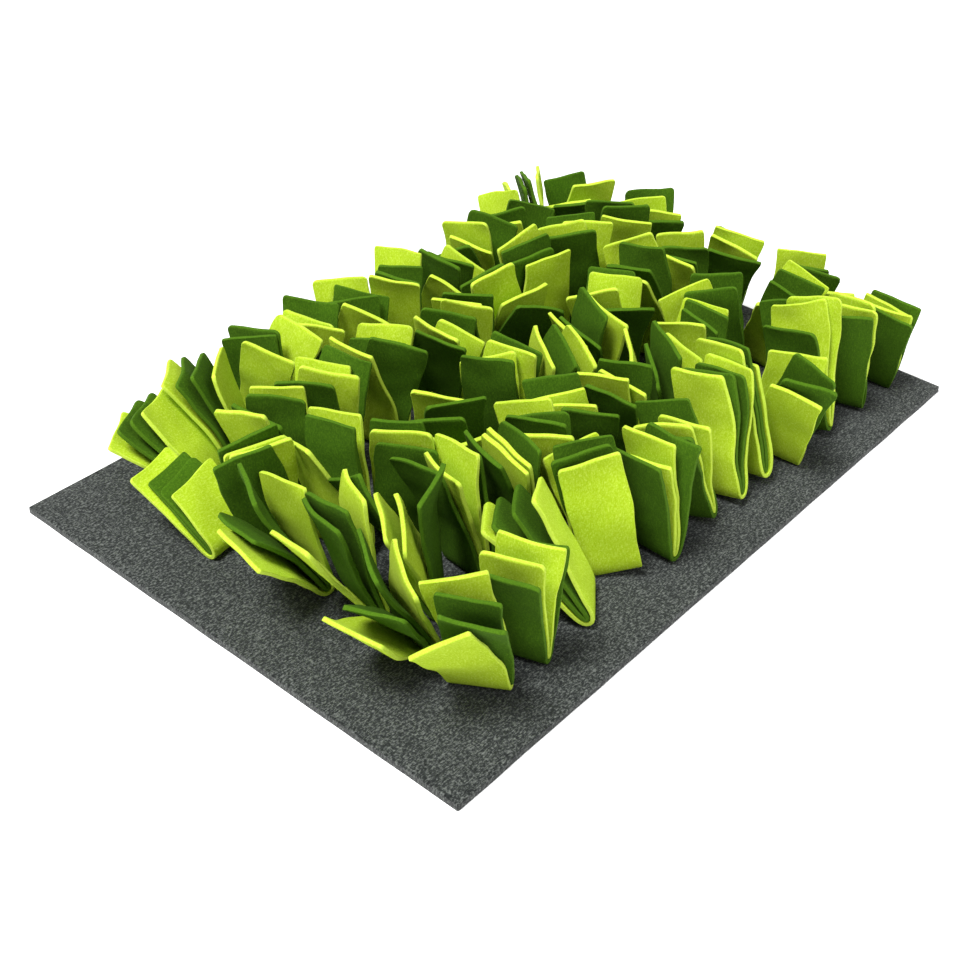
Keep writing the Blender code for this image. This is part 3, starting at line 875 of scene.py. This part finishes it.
def mixed(tree, share, a, b, blend="MIX"):
    made = tree.nodes.new("ShaderNodeMix")
    made.data_type = "RGBA"
    made.blend_type = blend
    for value, socket in ((share, made.inputs[0]), (a, made.inputs[6]), (b, made.inputs[7])):
        if isinstance(value, bpy.types.NodeSocket):
            tree.links.new(value, socket)
        elif isinstance(value, float):
            socket.default_value = value
        else:
            socket.default_value = (*value, 1.0)
    return made.outputs[2]


def scaled(tree, value, low, high):
    made = tree.nodes.new("ShaderNodeMapRange")
    made.inputs["From Min"].default_value = low
    made.inputs["From Max"].default_value = high
    tree.links.new(value, made.inputs["Value"])
    return made.outputs["Result"]


def fibre_tone(tree, place, fine, strands, share):
    """Pale and dark of matted fibres: fine noise, and strands that lie two ways over it."""
    ground = noise_node(tree, place, *fine)
    ways = [noise_node(tree, place, *strand) for strand in strands]
    return mixed(tree, share, ground, mixed(tree, 0.5, *ways, "LIGHTEN"))


def finish_felt(tree, shader, colour, tone, sheen):
    """The matt, slightly rough surface that all the felts share."""
    tree.links.new(colour, shader.inputs["Base Color"])
    shader.inputs["Roughness"].default_value = ROUGHNESS
    shader.inputs["Specular IOR Level"].default_value = GLOSS
    shader.inputs["Sheen Weight"].default_value = sheen
    bump = node(tree, "ShaderNodeBump", Strength=BUMP_STRENGTH, Distance=BUMP_MM * MM)
    tree.links.new(tone, bump.inputs["Height"])
    tree.links.new(bump.outputs["Normal"], shader.inputs["Normal"])


def felt_material(name, shade, main, bright, sheen):
    """Pressed wool felt: matted fibres, a soft nap, and cut edges with a painted highlight that
    partly stands for their paler fuzz.
    """
    felt, tree, shader = new_material(name)
    place = tree.nodes.new("ShaderNodeTexCoord").outputs["Object"]
    tone = fibre_tone(tree, place, FELT_FINE, FELT_STRANDS, FELT_STRAND_SHARE)
    cloudy = noise_node(tree, place, *CLOUD)
    colour = ramp(tree, tone, zip(TONE_STOPS, (shade, main, bright)))
    cloud = ramp(tree, cloudy, CLOUD_STOPS)
    colour = mixed(tree, 1.0, colour, cloud, "MULTIPLY")
    # painted highlight along the cut edges, partly their paler fuzz: the marked faces go towards
    # the brightest tone
    fuzz_and_highlight_node = tree.nodes.new("ShaderNodeAttribute")
    fuzz_and_highlight_node.attribute_name = "edge_fuzz_and_highlight"
    share = scaled(tree, fuzz_and_highlight_node.outputs["Fac"], 0.0, 1.0 / EDGE_FUZZ_AND_HIGHLIGHT)
    colour = mixed(tree, share, colour, bright)
    shader.inputs["Sheen Roughness"].default_value = SHEEN_ROUGHNESS
    shader.inputs["Sheen Tint"].default_value = (*bright, 1.0)
    finish_felt(tree, shader, colour, tone, sheen)
    return felt


def marled_material(name):
    """Charcoal felt of mixed dark and pale fibres."""
    felt, tree, shader = new_material(name)
    place = tree.nodes.new("ShaderNodeTexCoord").outputs["Object"]
    tone = fibre_tone(tree, place, MARL_FINE, MARL_STRANDS, MARL_STRAND_SHARE)
    finish_felt(tree, shader, ramp(tree, tone, MARL_STOPS), tone, MARL_SHEEN)
    return felt


# ---------------------------------------------------------------- stage


def plain_material(name, colour):
    paint, _, shader = new_material(name)
    shader.inputs["Base Color"].default_value = (*colour, 1.0)
    shader.inputs["Roughness"].default_value = FLOOR_ROUGHNESS
    return paint


def make_floor():
    bpy.ops.mesh.primitive_plane_add(size=FLOOR_SIZE_M, location=(0, 0, 0))
    floor = bpy.context.object
    floor.name = "floor"
    floor.data.materials.append(plain_material("floor_paint", FLOOR_COLOUR))
    floor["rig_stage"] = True


def toward(azimuth, elevation):
    """Direction to a place seen at an azimuth and an elevation, both in degrees."""
    az = math.radians(azimuth)
    el = math.radians(elevation)
    return Vector((math.cos(el) * math.cos(az), math.cos(el) * math.sin(az), math.sin(el)))


def soft_light(name, azimuth, elevation, spread, strength):
    """A wide, even studio light from one direction."""
    lamp = bpy.data.lights.new(name, "SUN")
    lamp.angle = math.radians(spread)
    lamp.energy = strength
    thing = bpy.data.objects.new(name, lamp)
    bpy.context.scene.collection.objects.link(thing)
    way = toward(azimuth, elevation)
    thing.location = way
    thing.rotation_euler = way.to_track_quat("Z", "Y").to_euler()
    thing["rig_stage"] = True


def make_light():
    world = bpy.data.worlds.new("studio")
    world.use_nodes = True
    background = world.node_tree.nodes["Background"]
    background.inputs["Color"].default_value = (*SKY_COLOUR, 1.0)
    background.inputs["Strength"].default_value = SKY_STRENGTH
    bpy.context.scene.world = world
    for lamp in listed(LAMP_COLUMNS, LAMPS):
        soft_light(**lamp)


def make_camera():
    """A camera that looks down across the mat from beyond its front left corner."""
    roll = math.radians(CAMERA_ROLL_DEG)
    back = toward(CAMERA_AZIMUTH_DEG, CAMERA_ELEVATION_DEG)
    right = Vector((0, 0, 1)).cross(back).normalized()
    up = back.cross(right)
    axes = Matrix((math.cos(roll) * right + math.sin(roll) * up,
                   math.cos(roll) * up - math.sin(roll) * right, back)).transposed()
    lens = bpy.data.cameras.new("camera")
    lens.sensor_width = SENSOR_MM
    lens.lens = LENS_MM
    camera = bpy.data.objects.new("camera", lens)
    offset = axes @ (Vector(CAMERA_OFFSET_MM) * MM)
    camera.matrix_world = Matrix.Translation(offset) @ axes.to_4x4()
    bpy.context.scene.collection.objects.link(camera)
    bpy.context.scene.camera = camera


def write_sizes(cad_box):
    for low, high in (cad_box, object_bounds()):
        [float(v) for v in low]
        [float(v) for v in high]


def main():
    noise.seed_set(NOISE_SEED)
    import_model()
    cad_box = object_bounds()
    bpy.context.scene.view_settings.view_transform = "Standard"
    felts = {
        "light": felt_material("light_felt", *LIGHT_TONES, LIGHT_SHEEN),
        "dark": felt_material("dark_felt", *DARK_TONES, DARK_SHEEN),
    }
    base = make_base_felt(marled_material("base_felt"))
    strips = {"light": [], "dark": []}
    for outer, flat_outer, inner, flat_inner in make_strips(felts):
        for piece in (outer, inner):
            strips["light" if piece["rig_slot"] == "light_felt" else "dark"].append(piece)
    for shade, pieces in strips.items():
        make_nap(f"nap_{shade}", pieces, NAP_PER_MM2, felts[shade], f"{shade}_felt")
    make_floor()
    make_light()
    make_camera()
    write_sizes(cad_box)


main()
